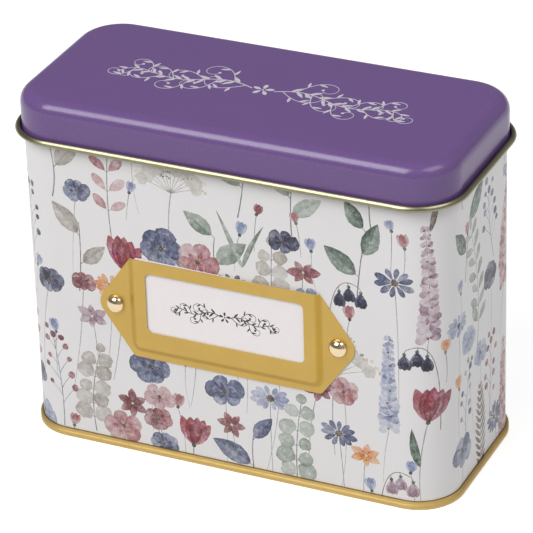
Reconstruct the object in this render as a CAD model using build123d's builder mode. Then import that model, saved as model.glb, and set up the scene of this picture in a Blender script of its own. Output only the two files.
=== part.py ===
"""Prayer card tin: a slip-lid tinplate box with a riveted label holder and filed cards.

Frame: origin at the middle of the base, +X across the width, -Y the labelled front, +Z up.
Every size is in millimetres. "Out" in a profile is measured outward from the wall's outer face.
"""

import os
from math import cos, radians, sin, sqrt, tan

from build123d import *

# Tin
tin_width = 140.0
tin_depth = 62.2
tin_height = 115.0
corner_radius = 13.4
skin = 0.25

# Rolled rim at the top of the wall
rim_radius = 1.1
rim_angle = 270.0

# Double seam that joins the base plate to the wall
seam_height = 2.6
seam_gap = 0.1
hook_lap = 1.2

# Base plate
floor_height = 3.4
shoulder_radius = 0.9
panel_rise = 0.8
panel_slope = 45.0
panel_margin = 2.6
panel_overlap = 1.0

# Side seam at the middle of the back
side_seam_width = 5.0
side_seam_thickness = 0.5
side_seam_groove = 0.35
side_seam_end = 1.0

# Lid
lid_clearance = 0.5
lid_edge_radius = 4.5
lid_depth = 14.2
lid_seat_gap = 0.15
lid_margin = 1.2
curl_radius = 1.15
curl_straight = 0.45
curl_end_angle = 120.0

# Label holder
holder_sheet = 0.4
holder_width = 61.0
holder_height = 34.0
holder_level = 51.0
holder_corner = 2.2
ear_radius = 5.2
rivet_spacing = 73.4
pocket_depth = 0.9
pocket_width = 61.4
pocket_border = 2.9
step_slope = 45.0
step_blend = 0.25
window_width = 51.2
window_height = 19.6
window_level = 53.5
window_corner = 1.8

# Rivets
rivet_head_radius = 3.02
rivet_head_height = 1.5
rivet_rim = 0.25
rivet_shank_radius = 1.3
rivet_tail_radius = 2.1
rivet_tail_height = 0.6
rivet_clearance = 0.05

# Label card
label_thickness = 0.35
label_clearance = 0.15
label_stand_out = 0.35

# Cards and dividers
group_count = 6
side_room = 4.05
head_room = 11.45
pack_thickness = 4.5
divider_thickness = 0.5
divider_stand_up = 3.0
tab_height = 7.0
tab_width = 38.0
tab_pitch = 42.0
tab_corner = 2.0
tab_place_count = 3
card_gap = 0.1
group_gap = 0.3
stand_gap = 0.1
mouth_play = 0.4

# Places that follow from the sizes above
front_of_wall = -tin_depth / 2
section = Plane(
    origin=(-tin_width / 2 + corner_radius, front_of_wall, 0),
    x_dir=(0, -1, 0),
    z_dir=(-1, 0, 0),
)
front_face = Plane(origin=(0, front_of_wall, 0), x_dir=(1, 0, 0), z_dir=(0, -1, 0))

hook_inside = skin + 2 * seam_gap
cover_inside = hook_inside + skin + seam_gap
cover_hook_inside = skin + seam_gap
cover_turn = (cover_inside - cover_hook_inside) / 2
cover_top = seam_height - skin - cover_turn
wall_foot = 2 * skin + seam_gap

lid_out = lid_clearance + skin
curl_inside = curl_radius - skin
curl_level = tin_height - lid_depth + curl_radius
rim_offset = max(lid_edge_radius - lid_out - rim_radius, 0)
rim_reach = lid_edge_radius - skin - rim_radius - lid_seat_gap
rim_level = tin_height - lid_edge_radius + sqrt(rim_reach**2 - rim_offset**2)

dome_rise = rivet_head_height - rivet_rim
panel_level = floor_height + panel_rise
mouth_width = tin_width - 2 * skin - 4 * rim_radius
card_width = mouth_width - 2 * side_room
divider_height = tin_height - skin - head_room - tab_height - stand_gap - panel_level
card_height = divider_height - divider_stand_up
stack_back = tin_depth / 2 - skin - 2 * rim_radius - mouth_play
group_depth = divider_thickness + card_gap + pack_thickness
stack_depth = group_count * group_depth + (group_count - 1) * group_gap


def path_round_tin():
    """A closed path round the wall's outer face, front side first."""
    sides = (tin_width - 2 * corner_radius, tin_depth - 2 * corner_radius)
    with BuildLine() as path:
        start = section.origin
        heading = Vector(1, 0)
        for length in sides * 2:
            side = Line(start, start + heading * length)
            corner = JernArc(side @ 1, side % 1, corner_radius, 90)
            start = corner @ 1
            heading = corner % 1
    return path.wire()


def bent_line(start, heading, bends, shift):
    """Draw one face of a bent sheet and give its two ends.

    A left turn is positive. A bend of no radius is a sharp corner on the face inside it.
    """
    at = start + heading.rotate(Axis.Z, 90) * shift
    first = at
    for length, radius, turn in bends:
        straight = Line(at, at + heading * length)
        at = straight @ 1
        reach = radius - shift if turn > 0 else radius + shift
        if turn and reach > 0:
            at = JernArc(at, heading, reach, turn) @ 1
        heading = heading.rotate(Axis.Z, turn)
    return first, at


def sheet_section(start, heading, bends, shift):
    """Section of a sheet drawn along one face: each bend is (straight run, radius, turn).

    The sheet lies to the left of that face where shift is positive, and else to the right.
    """
    with BuildSketch(section) as profile:
        with BuildLine():
            near = bent_line(Vector(*start), Vector(*heading), bends, 0)
            far = bent_line(Vector(*start), Vector(*heading), bends, shift)
            for one, other in zip(near, far):
                Line(one, other)
        make_face()
    return profile.sketch


def tin_plan(out, level):
    """The tin's rounded plan, grown outward by out."""
    with BuildSketch(Plane.XY.offset(level)) as plan:
        RectangleRounded(tin_width + 2 * out, tin_depth + 2 * out, corner_radius + out)
    return plan.sketch


def rivet_holes(depth):
    """Cut the two rivet holes through the sheet that lies on the front face."""
    with BuildSketch(front_face) as holes:
        with Locations((-rivet_spacing / 2, holder_level), (rivet_spacing / 2, holder_level)):
            Circle(rivet_shank_radius + rivet_clearance)
    extrude(holes.sketch, amount=depth, both=True, mode=Mode.SUBTRACT)


round_tin = path_round_tin()

# Body wall: hook at the foot, plain wall, rim rolled inward
wall_bends = (
    (hook_lap, 0, -90),
    (hook_inside, 0, -90),
    (rim_level - wall_foot, rim_radius, rim_angle),
)
with BuildPart() as body_wall:
    sweep(
        sheet_section((hook_inside, wall_foot + hook_lap), (0, -1), wall_bends, skin),
        path=round_tin,
    )
    # Lock seam at the back: a folded strip inside and a fine groove outside
    strip_bottom = panel_level + side_seam_end
    strip_top = rim_level - rim_radius - side_seam_end
    with BuildSketch(Plane.XY.offset(strip_bottom)):
        with Locations((0, tin_depth / 2 - skin)):
            Rectangle(side_seam_width, side_seam_thickness, align=(Align.CENTER, Align.MAX))
    extrude(amount=strip_top - strip_bottom)
    with BuildSketch(Plane.XY.offset(strip_bottom)):
        with Locations((side_seam_width / 2, tin_depth / 2)):
            Rectangle(side_seam_groove, skin)
    extrude(amount=strip_top - strip_bottom, mode=Mode.SUBTRACT)
    rivet_holes(2 * skin)
body_wall.part.label = "body_wall"

# Base plate: cover hook, seam wall, flat foot, chuck wall, then a panel with a raised middle
slope_length = (panel_rise - skin * (1 - cos(radians(panel_slope)))) / sin(radians(panel_slope))
slope_run = slope_length * cos(radians(panel_slope)) + skin * sin(radians(panel_slope))
base_bends = (
    (hook_lap, cover_turn, -180),
    (cover_top - skin, 0, -90),
    (cover_inside + cover_hook_inside, 0, -90),
    (floor_height - skin - shoulder_radius, shoulder_radius, 90),
    (panel_margin - cover_hook_inside - shoulder_radius, 0, -panel_slope),
    (slope_length, skin, panel_slope),
    (panel_overlap, 0, 0),
)
with BuildPart() as base_plate:
    sweep(
        sheet_section((cover_hook_inside, cover_top - hook_lap), (0, 1), base_bends, skin),
        path=round_tin,
    )
    panel_edge = -panel_margin - slope_run - panel_overlap / 2
    extrude(tin_plan(panel_edge, panel_level - skin), amount=skin)
base_plate.part.label = "base_plate"

# Lid: top panel, soft edge, skirt and an open curl that turns outward at the bottom
lid_bends = (
    (lid_margin, lid_edge_radius, -90),
    (lid_depth - lid_edge_radius - curl_radius, curl_inside, 180),
    (curl_straight, curl_inside, curl_end_angle),
)
lid_flat = lid_out - lid_edge_radius
with BuildPart() as lid:
    sweep(
        sheet_section((lid_flat - lid_margin, tin_height), (1, 0), lid_bends, -skin),
        path=round_tin,
    )
    extrude(tin_plan(lid_flat - lid_margin / 2, tin_height - skin), amount=skin)
lid.part.label = "lid"

# Label holder: a flat flange with two ears, pressed out in the middle to hold the card
step_shift = holder_sheet / cos(radians(step_slope)) - holder_sheet * tan(radians(step_slope))
pocket_bottom = holder_level - holder_height / 2 + pocket_border
pocket_top = holder_level + holder_height / 2


def pocket_plan(level, grow):
    """The pocket's outline at a height above the front face; it runs out past the open top."""
    with BuildSketch(front_face.offset(level)) as plan:
        with Locations((0, pocket_bottom - grow)):
            Rectangle(
                pocket_width + 2 * grow,
                pocket_top - pocket_bottom + grow + 4 * pocket_depth,
                align=(Align.CENTER, Align.MIN),
            )
        fillet(plan.vertices().group_by(Axis.Z)[0], holder_corner)
    return plan.sketch


with BuildPart() as label_holder:
    with BuildSketch(front_face) as holder_outline:
        with Locations((0, holder_level)):
            Rectangle(holder_width, holder_height)
        with Locations((-rivet_spacing / 2, holder_level), (rivet_spacing / 2, holder_level)):
            Circle(ear_radius)
        make_hull()
    extrude(amount=holder_sheet)
    extrude(pocket_plan(holder_sheet, step_shift), amount=pocket_depth, taper=step_slope)
    extrude(pocket_plan(0, 0), amount=pocket_depth, taper=step_slope, mode=Mode.SUBTRACT)
    extrude(holder_outline.sketch, amount=holder_sheet + pocket_depth, mode=Mode.INTERSECT)
    with BuildSketch(front_face):
        with Locations((0, window_level)):
            RectangleRounded(window_width, window_height, window_corner)
    extrude(amount=holder_sheet + pocket_depth, mode=Mode.SUBTRACT)
    rivet_holes(holder_sheet)
label_holder.part.label = "label_holder"

# Rivets: a domed head outside, a shank through the ear and the wall, a tail turned over inside
grip = holder_sheet + skin
rivet_axis = Axis((rivet_spacing / 2, front_of_wall, holder_level), (0, -1, 0))
rivet_plane = Plane(origin=rivet_axis.position, x_dir=(1, 0, 0), z_dir=(0, 0, 1))
with BuildPart() as holder_rivets:
    with BuildSketch(rivet_plane):
        with BuildLine():
            head = (0, -holder_sheet - rivet_head_height)
            brow = (rivet_head_radius, -holder_sheet - rivet_rim)
            dome = RadiusArc(head, brow, -(rivet_head_radius**2 + dome_rise**2) / (2 * dome_rise))
            Polyline(
                brow,
                (rivet_head_radius, -holder_sheet),
                (rivet_shank_radius, -holder_sheet),
                (rivet_shank_radius, skin),
                (rivet_tail_radius, skin),
                (rivet_tail_radius, skin + rivet_tail_height / 2),
                (rivet_shank_radius, skin + rivet_tail_height),
                (0, skin + rivet_tail_height),
                head,
            )
        make_face()
    revolve(axis=rivet_axis)
    mirror(about=Plane.YZ)
holder_rivets.part.label = "holder_rivets"

# Label card: stands on the pocket's lower step and shows a little above its open top
label_back = pocket_depth - label_clearance - label_thickness
label_bottom = pocket_bottom + pocket_depth * tan(radians(step_slope)) + label_clearance
label_width = pocket_width - 2 * (pocket_depth * tan(radians(step_slope)) + label_clearance)
with BuildPart() as label_card:
    with BuildSketch(front_face.offset(label_back)):
        with Locations((0, label_bottom)):
            Rectangle(
                label_width,
                pocket_top + label_stand_out - label_bottom,
                align=(Align.CENTER, Align.MIN),
            )
    extrude(amount=label_thickness)
label_card.part.label = "label_card"

os.makedirs("parts", exist_ok=True)
for piece in (body_wall, base_plate, lid, label_holder, holder_rivets, label_card):
    export_step(piece.part, f"parts/{piece.part.label}.step")

# Filed cards: each group is a tabbed divider with a pack of cards behind it
for number in range(group_count):
    group_front = stack_back - stack_depth + number * (group_depth + group_gap)
    tab_place = (number % tab_place_count - (tab_place_count - 1) / 2) * tab_pitch
    divider_plane = Plane(
        origin=(0, group_front + divider_thickness, panel_level + stand_gap),
        x_dir=(1, 0, 0),
        z_dir=(0, -1, 0),
    )
    with BuildPart() as divider:
        with BuildSketch(divider_plane) as divider_outline:
            Rectangle(card_width, divider_height, align=(Align.CENTER, Align.MIN))
            with Locations((tab_place, divider_height)):
                Rectangle(tab_width, 2 * tab_height)
            chamfer(divider_outline.vertices().group_by(Axis.Z)[-1], tab_corner)
        extrude(amount=divider_thickness)
    divider.part.label = f"divider_{number + 1}"
    export_step(divider.part, f"parts/{divider.part.label}.step")

    with BuildPart() as pack:
        with BuildSketch(divider_plane.offset(-card_gap)):
            Rectangle(card_width, card_height, align=(Align.CENTER, Align.MIN))
        extrude(amount=-pack_thickness)
    pack.part.label = f"cards_{number + 1}"
    export_step(pack.part, f"parts/{pack.part.label}.step")
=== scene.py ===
"""Looks of the card tin: a printed wall, a painted lid, gold metal, a label and a file of cards."""

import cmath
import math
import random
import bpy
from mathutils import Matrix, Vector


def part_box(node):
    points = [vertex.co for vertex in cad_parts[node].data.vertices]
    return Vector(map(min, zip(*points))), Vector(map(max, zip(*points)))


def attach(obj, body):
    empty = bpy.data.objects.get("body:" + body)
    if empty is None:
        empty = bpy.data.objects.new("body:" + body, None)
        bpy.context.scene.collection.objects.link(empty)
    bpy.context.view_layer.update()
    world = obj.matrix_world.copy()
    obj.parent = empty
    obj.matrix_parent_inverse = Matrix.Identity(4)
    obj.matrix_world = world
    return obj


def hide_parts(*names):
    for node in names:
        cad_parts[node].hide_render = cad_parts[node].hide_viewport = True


bl_info = {
    "name": "Card Tin",
    "version": (1, 0, 0),
    "blender": (4, 5, 0),
    "location": "3D View > Sidebar > Card Tin",
    "description": "Dresses the packed card tin with its print, paint, metal and paper",
    "category": "Object",
}

from collections import namedtuple

import bmesh
import bpy
import numpy as np
from bpy.props import FloatProperty, FloatVectorProperty, IntProperty, PointerProperty
from mathutils import Matrix, Vector
from mathutils.geometry import delaunay_2d_cdt

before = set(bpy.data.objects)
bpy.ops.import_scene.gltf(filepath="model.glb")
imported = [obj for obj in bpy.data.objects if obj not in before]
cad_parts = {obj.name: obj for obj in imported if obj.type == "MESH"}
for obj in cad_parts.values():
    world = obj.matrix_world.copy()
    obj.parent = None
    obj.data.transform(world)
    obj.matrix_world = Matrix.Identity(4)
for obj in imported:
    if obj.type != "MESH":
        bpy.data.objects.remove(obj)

# A millimetre, in metres: flat outlines are drawn in millimetres
MM = 0.001
FILES = 6
CARDS_IN_PACK = 15
# Upright strips that the print is cut in
STRIPS = 32
# Places where each plant of the print is tried
TRIES = 60
# Degrees that the print goes over the rolled rim, and steps on the way
RIM_TURN = 200
RIM_STEPS = 17
# Steps of the print round each corner of the wall, and of the lid round each of its own
WALL_STEPS = 24
CORNER_STEPS = 18
# Degrees in one step of a bend of the lid's sheet
BEND_STEP = 7
# Places of the finishes on the lid's shell
PAINT, BEAD, INSIDE = range(3)


def linear(red, green, blue):
    """A colour written from 0 to 255, as the shaders read it."""
    shares = (red / 255, green / 255, blue / 255)
    return tuple(s / 12.92 if s <= 0.04045 else ((s + 0.055) / 1.055) ** 2.4 for s in shares)


# Settings a user would change


def length(name, description, default):
    """A length that a user can set, in metres."""
    return FloatProperty(
        name=name, description=description, default=default, unit="LENGTH", subtype="DISTANCE"
    )


def tint(name, description, red, green, blue):
    """A colour that a user can set, written here from 0 to 255."""
    return FloatVectorProperty(
        name=name,
        description=description,
        default=linear(red, green, blue),
        size=3,
        min=0.0,
        max=1.0,
        subtype="COLOR",
    )


class TinSizes(bpy.types.PropertyGroup):
    """Sizes of the tin that the pieces made here follow."""

    wall_width: length("Wall width", "Outside width of the wall", 0.140)
    wall_depth: length("Wall depth", "Outside depth of the wall", 0.0622)
    wall_corner: length("Wall corner", "Radius of the wall's corners, outside", 0.0134)
    seam_height: length("Bottom seam", "Height of the double seam round the bottom", 0.0026)
    print_low: length("Print low", "Height where the printed sheet leaves the bottom seam", 0.00265)
    print_high: length("Print high", "Height where the motifs end, under the lid", 0.1065)
    rim_level: length("Rim level", "Height of the rolled rim's centre line", 0.11191)
    rim_radius: length("Rim radius", "Outside radius of the rolled rim", 0.0011)
    seam_place: length("Side seam", "Distance of the side seam from the middle of the back", 0.0025)
    seam_gap: length("Side seam gap", "Width of the groove between the sheet's two ends", 0.0004)
    print_lift: length("Print lift", "How far the printed coat stands off the metal", 0.00003)
    lid_out: length("Lid outside", "How far the lid's skirt stands outside the wall", 0.00075)
    lid_edge: length("Lid edge", "Radius of the lid's top edge", 0.0045)
    bead_low: length("Bead foot", "Height of the lowest point of the lid's rolled bead", 0.10145)
    bead_turn: length("Bead turn", "Radius of the bend out of the skirt into the bead", 0.0006)
    bead_bend: length("Bead bend", "Radius of the bead's bend from its foot to its outer face", 0.00055)
    bead_slope: length("Bead slope", "Radius of the bead's sloping outer face", 0.0018)
    bead_return: length("Bead return", "Radius of the bead's bend back towards the skirt", 0.0005)
    sheet: length("Tinplate", "Thickness of the tinplate", 0.00025)
    ink: length("Ink", "Thickness of the raised ink on the lid and label", 0.00004)
    holder_width: length("Holder width", "Width of the holder's flat middle", 0.062)
    holder_corner: length("Holder corner", "Radius of the holder's lower corners", 0.0016)
    ear_radius: length("Ear radius", "Radius of the ends of the holder's ears", 0.0052)
    rivet_spacing: length("Rivet spacing", "Distance between the rivets", 0.0734)
    rivet_hole: length("Rivet hole", "Radius of the holes for the rivets", 0.00135)
    rivet_head: length("Rivet head", "Radius of the rivets' domed heads", 0.003)
    rivet_rise: length("Rivet rise", "Height of the rivets' domed heads", 0.00225)
    pocket_depth: length("Pocket depth", "How far the holder's middle is pressed out", 0.0009)
    pocket_width: length("Pocket width", "Width of the pressed middle at half its depth", 0.0615)
    pocket_foot: length("Pocket foot", "Height of the pressed middle's lower edge over the holder's", 0.0029)
    pocket_corner: length("Pocket corner", "Radius of the pressed middle's lower corners", 0.0024)
    pocket_slope: length("Pocket slope", "Width of the soft step round the pressed middle", 0.0024)
    window_width: length("Window width", "Width of the holder's window", 0.052)
    window_low: length("Window low", "Height of the window's lower edge", 0.0437)
    window_high: length("Window high", "Height of the window's upper edge", 0.0640)
    window_corner: length("Window corner", "Radius of the window's corners", 0.0019)
    label_fall: length("Label fall", "How far the label's top edge falls to the right", 0.001)
    tab_rise: length("Tab rise", "How far the dividers' tabs stand up", 0.007)
    tab_pitch: length("Tab pitch", "Distance between the places of the tabs", 0.042)
    tab_width: length("Tab width", "Width of the dividers' tabs", 0.038)


class TinColours(bpy.types.PropertyGroup):
    """Colours of the tin's finishes."""

    ground: tint("Wall ground", "Pale ground of the printed wall", 229, 227, 227)
    purple: tint("Lid purple", "Satin paint of the lid", 106, 79, 133)
    silver_ink: tint("Silver ink", "Ornament on the lid", 226, 222, 232)
    gold: tint("Gold lacquer", "Lacquer of the label holder", 203, 168, 86)
    seam_gold: tint("Seam lacquer", "Paler lacquer of the base plate and its seam", 209, 179, 110)
    cut_edge: tint("Cut edge", "Bare edge of the holder's sheet", 206, 180, 122)
    # Painted shade: the bead is the same tinplate as the inside of the lid, drawn darker to stand for its
    # darker reflections
    tinplate: tint("Tinplate", "Clear-lacquered tinplate of the lid's bead", 152, 148, 122)
    inside: tint("Inside", "Tinplate inside the tin and the lid", 188, 183, 160)
    brass: tint("Brass", "Polished rivets", 236, 214, 176)
    label: tint("Label paper", "Card in the holder", 246, 240, 240)
    label_ink: tint("Label ink", "Sprig drawn on the label", 58, 54, 60)
    divider: tint("Divider card", "Tabbed dividers", 214, 204, 214)
    card: tint("Card paper", "Blank cards", 243, 239, 230)


class TinStage(bpy.types.PropertyGroup):
    """The camera, and the seed of the print's layout."""

    azimuth: FloatProperty(
        name="Azimuth",
        description="Turn of the camera round the tin",
        default=math.radians(25.2546),
        subtype="ANGLE",
    )
    elevation: FloatProperty(
        name="Elevation",
        description="Height of the camera above the horizon",
        default=math.radians(28.6880),
        subtype="ANGLE",
    )
    roll: FloatProperty(
        name="Roll",
        description="Turn of the camera about its own line of sight",
        default=math.radians(-1.8566),
        subtype="ANGLE",
    )
    place: FloatVectorProperty(
        name="Camera place",
        description="Place of the camera",
        default=(0.3860, -0.8197, 0.5509),
        size=3,
        subtype="TRANSLATION",
    )
    lens: FloatProperty(name="Lens", description="Focal length in millimetres", default=228.02)
    seed: IntProperty(name="Seed", description="Seed of the print's layout", default=11)


# Mesh making


def turned_left(outline):
    """The outline in the order that keeps its inside on the left."""
    twice_area = sum((a.conjugate() * b).imag for a, b in zip(outline, outline[1:] + outline[:1]))
    return outline if twice_area > 0 else outline[::-1]


def flat_sheet(outlines, lines=(), solid=None):
    """Triangles that fill the outlines, cut along their edges and along the lines.

    Gives points, triangles and, for each triangle, the outlines that cover it in drawing order.
    """
    points, edges, faces = [], [], []
    for outline in outlines:
        first = len(points)
        points.extend(Vector((p.real, p.imag)) for p in turned_left(outline))
        faces.append(list(range(first, len(points))))
    for line in lines:
        first = len(points)
        points.extend(Vector((p.real, p.imag)) for p in line)
        edges.extend((i, i + 1) for i in range(first, len(points) - 1))
    made, _, triangles, _, _, sources = delaunay_2d_cdt(points, edges, faces, 1, 0.002)
    wanted = [i for i, source in enumerate(sources) if source and (solid is None or solid(source))]
    used = sorted({v for i in wanted for v in triangles[i]})
    place = {old: new for new, old in enumerate(used)}
    return (
        [complex(made[v].x, made[v].y) for v in used],
        [tuple(place[v] for v in triangles[i]) for i in wanted],
        [sorted(sources[i]) for i in wanted],
    )


def open_edges(triangles):
    """Edges that belong to one triangle only, in that triangle's direction."""
    seen = {}
    for triangle in triangles:
        for a, b in zip(triangle, triangle[1:] + triangle[:1]):
            if (b, a) in seen:
                del seen[(b, a)]
            else:
                seen[(a, b)] = True
    return list(seen)


def thick_mesh(name, points, triangles, front, back):
    """A closed sheet between two surfaces over the same flat triangles."""
    count = len(points)
    vertices = [front(p) for p in points] + [back(p) for p in points]
    faces = [tuple(t) for t in triangles]
    faces += [tuple(v + count for v in reversed(t)) for t in triangles]
    faces += [(b, a, a + count, b + count) for a, b in open_edges(triangles)]
    mesh = bpy.data.meshes.new(name)
    mesh.from_pydata([v * MM for v in vertices], [], faces)
    mesh.validate()
    return mesh


def board_mesh(name, outlines, front, back, up=0.0):
    """An upright board between two places along Y, with its outlines lifted by up."""
    points, triangles, _ = flat_sheet(outlines)
    return thick_mesh(
        name,
        points,
        triangles,
        lambda p: Vector((p.real, front, p.imag + up)),
        lambda p: Vector((p.real, back, p.imag + up)),
    )


def add_piece(name, mesh, material, body, smooth=None):
    """Puts a finished mesh in the scene, riding on its body."""
    piece = bpy.data.objects.new(name, mesh)
    bpy.context.scene.collection.objects.link(piece)
    mesh.materials.append(material)
    if smooth is not None:
        mesh.shade_smooth()
        mesh.set_sharp_from_angle(angle=math.radians(smooth))
    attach(piece, body)
    return piece


def dress_node(node, material):
    """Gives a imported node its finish."""
    node_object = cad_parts[node]
    node_object.data.materials.clear()
    node_object.data.materials.append(material)


def arc(centre, radius, start, turn, steps):
    """Points on an arc, angles in degrees."""
    return [
        centre + cmath.rect(radius, math.radians(start + turn * i / steps)) for i in range(steps + 1)
    ]


def rounded_box(left, right, low, high, radius, steps=6):
    """Outline of a rectangle with round corners."""
    corners = (
        (complex(right - radius, low + radius), -90),
        (complex(right - radius, high - radius), 0),
        (complex(left + radius, high - radius), 90),
        (complex(left + radius, low + radius), 180),
    )
    return [p for centre, start in corners for p in arc(centre, radius, start, 90, steps)]


# Painted shapes, drawn as outlines in the complex plane


Shape = namedtuple("Shape", "outline middle turn half_length half_width pigment strength pool")
# A brush line is marked by this length instead of its own
LINE = 9.0


def bezier(start, control, end, steps):
    """Points on a curve that leaves start and reaches end, pulled towards control."""
    shares = [i / steps for i in range(steps + 1)]
    return [(1 - t) ** 2 * start + 2 * t * (1 - t) * control + t * t * end for t in shares]


def blade_sides(base, turn, reach, width, fullness, blunt, bend, steps, rough, rng):
    """The middle line and the two sides of a petal or leaf.

    fullness is the share of its length where it is widest, and a low blunt rounds its ends.
    """
    warp = math.log(0.5) / math.log(fullness)
    middle, left, right = [], [], []
    for i in range(steps + 1):
        t = (1 - math.cos(math.pi * i / steps)) / 2
        half = width / 2 * math.sin(math.pi * t**warp) ** blunt if 0 < i < steps else 0
        at = base + turn * reach * t + turn * 1j * bend * reach * t * t
        middle.append(at)
        left.append(at + turn * 1j * half * (1 + rng.uniform(-rough, rough)))
        right.append(at - turn * 1j * half * (1 + rng.uniform(-rough, rough)))
    return middle, left, right


def petal(rng, base, turn, reach, width, pigment, strength, fullness=0.6, blunt=0.62, pool=0.0, bend=0.0):
    """One petal: a single wash, paler or deeper towards its tip."""
    _, left, right = blade_sides(base, turn, reach, width, fullness, blunt, bend, 6, 0.09, rng)
    outline = left[:-1] + right[:0:-1]
    middle = base + turn * reach * 0.52
    return Shape(outline, middle, turn, reach * 0.52, width / 2, pigment, strength, pool)


def leaf(rng, base, turn, reach, width, pigment, strength, rib, fullness=0.42, blunt=0.9):
    """One leaf: two halves of unlike depth and a fine rib."""
    bend = rng.uniform(-0.16, 0.16)
    middle, left, right = blade_sides(base, turn, reach, width, fullness, blunt, bend, 7, 0.05, rng)
    centre = base + turn * reach / 2
    deeper = rng.choice((0.82, 1.2))
    pool = rng.uniform(-0.4, 0.4)
    sides = (
        (left + middle[-2:0:-1], strength * deeper),
        (middle[:1] + right[1:] + middle[-2:0:-1], strength * (2 - deeper)),
    )
    shapes = [
        Shape(side, centre, turn, reach / 2, width / 2, pigment, depth, pool) for side, depth in sides
    ]
    return shapes + stroke(middle[:-1], 0.2, 0.1, rib, 0.75)


def stroke(points, first_width, last_width, pigment, strength, fade=0.0, run=3):
    """A brush line along points, in short runs that may fade towards the end."""
    count = len(points) - 1
    left, right = [], []
    for i, at in enumerate(points):
        ahead = points[min(i + 1, count)] - points[max(i - 1, 0)]
        half = (first_width + (last_width - first_width) * i / count) / 2
        side = ahead / abs(ahead) * 1j * half
        left.append(at + side)
        right.append(at - side)
    shapes = []
    for first in range(0, count, run):
        last = min(first + run, count)
        outline = left[first : last + 1] + right[first : last + 1][::-1]
        middle = points[(first + last) // 2]
        depth = strength * (1 - fade * (first + last) / 2 / count)
        shapes.append(Shape(outline, middle, 1 + 0j, LINE, LINE, pigment, depth, 0.0))
    return shapes


def stalk(start, end, first_width, last_width, pigment, strength):
    """A short straight brush line."""
    return stroke([start, (start + end) / 2, end], first_width, last_width, pigment, strength)


def dot(rng, centre, radius, pigment, strength, sides=9):
    """A round dab of the brush."""
    start = rng.uniform(0, math.tau)
    outline = [
        centre + cmath.rect(radius * rng.uniform(0.88, 1.1), start + math.tau * i / sides)
        for i in range(sides)
    ]
    pool = rng.uniform(-0.4, 0.4)
    return Shape(outline, centre, cmath.rect(1, start), radius, radius, pigment, strength, pool)


def unit(degrees):
    """A direction in the plane."""
    return cmath.rect(1, math.radians(degrees))


def way_along(line, i):
    """Direction of a line at one of its inner points."""
    way = line[i + 1] - line[i - 1]
    return way / abs(way)


# Pigments of the print, as full washes over white
PIGMENTS = {
    "slate": linear(92, 99, 130),
    "navy": linear(58, 60, 84),
    "powder": linear(160, 170, 200),
    "rose": linear(186, 134, 138),
    "plum": linear(132, 72, 78),
    "raspberry": linear(166, 86, 100),
    "apricot": linear(232, 160, 104),
    "mauve": linear(184, 158, 172),
    "moss": linear(74, 94, 80),
    "sage": linear(152, 166, 152),
    "cream": linear(226, 212, 178),
    "stone": linear(176, 168, 158),
    "umber": linear(104, 86, 78),
    "twig": linear(118, 112, 116),
    "white": (1.0, 1.0, 1.0),
}


def pick(rng, *names):
    """One of the named pigments. A name given twice comes up twice as often."""
    return PIGMENTS[rng.choice(names)]


def stem(rng, top, fall, drift=0.16, fade=0.5, width=0.26):
    """A thin stem that falls from a head and fades out."""
    end = top + complex(rng.uniform(-drift, drift) * fall, -fall)
    control = (top + end) / 2 + rng.uniform(-0.1, 0.1) * fall
    points = bezier(top, control, end, max(6, int(fall / 2.5)))
    return stroke(points, width, width * 0.7, PIGMENTS["twig"], rng.uniform(0.45, 0.9), fade), points


def ring_way(rng, angle, sway, squash):
    """Direction of a petal in a ring seen a little from the side, which shortens some of them."""
    way = unit(angle + rng.uniform(-sway, sway))
    return complex(way.real, way.imag * squash)


def ring_petal(rng, seen, inner, reach, width, *paint):
    """A petal of a ring, which starts at a share of its direction from the middle."""
    return petal(rng, seen * inner, seen / abs(seen), reach, width, *paint)


def flower_eye(rng, at, radius, ring):
    """The middle of an open flower: a dark dab with pale grains round it."""
    shapes = [dot(rng, at, radius, PIGMENTS["umber"], 1.1)]
    for i in range(ring):
        grain = at + cmath.rect(radius * 0.9, math.tau * (i + rng.uniform(-0.2, 0.2)) / ring)
        shapes.append(dot(rng, grain, radius * 0.2, PIGMENTS["cream"], 0.9, 6))
    return shapes


def bloom(rng):
    """A wide open flower of broad wet petals, darker towards its middle."""
    pigment = pick(rng, "slate", "navy", "slate", "rose", "powder", "apricot", "plum", "slate")
    size = rng.choice((rng.uniform(4.4, 5.6), rng.uniform(6.0, 8.2)))
    count = rng.choice((5, 6, 6, 7, 8))
    squash = rng.uniform(0.66, 0.95)
    start = rng.uniform(0, 360)
    shapes, _ = stem(rng, 0j, rng.uniform(20, 44))
    ways = [ring_way(rng, start + 360 * i / count, 7, squash) for i in range(count)]
    for seen in ways:
        reach = size * abs(seen) * rng.uniform(0.9, 1.08)
        width = min(reach * 0.98, 6.4 * size / count * 0.98)
        strength = rng.uniform(0.4, 1.05)
        pool = rng.uniform(-0.6, 0.2)
        shapes.append(ring_petal(rng, seen, 0.3, reach, width, pigment, strength, 0.62, 0.5, pool))
    for seen in ways:
        reach = size * abs(seen) * rng.uniform(0.42, 0.6)
        width = reach * 0.42
        strength = rng.uniform(0.7, 1.2)
        shapes.append(ring_petal(rng, seen, 0.4, reach, width, pigment, strength, 0.5, 0.8, 0.3))
    shapes += flower_eye(rng, 0j, size * 0.13, 6)
    return shapes, [(0j, size * 0.98)]


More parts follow.
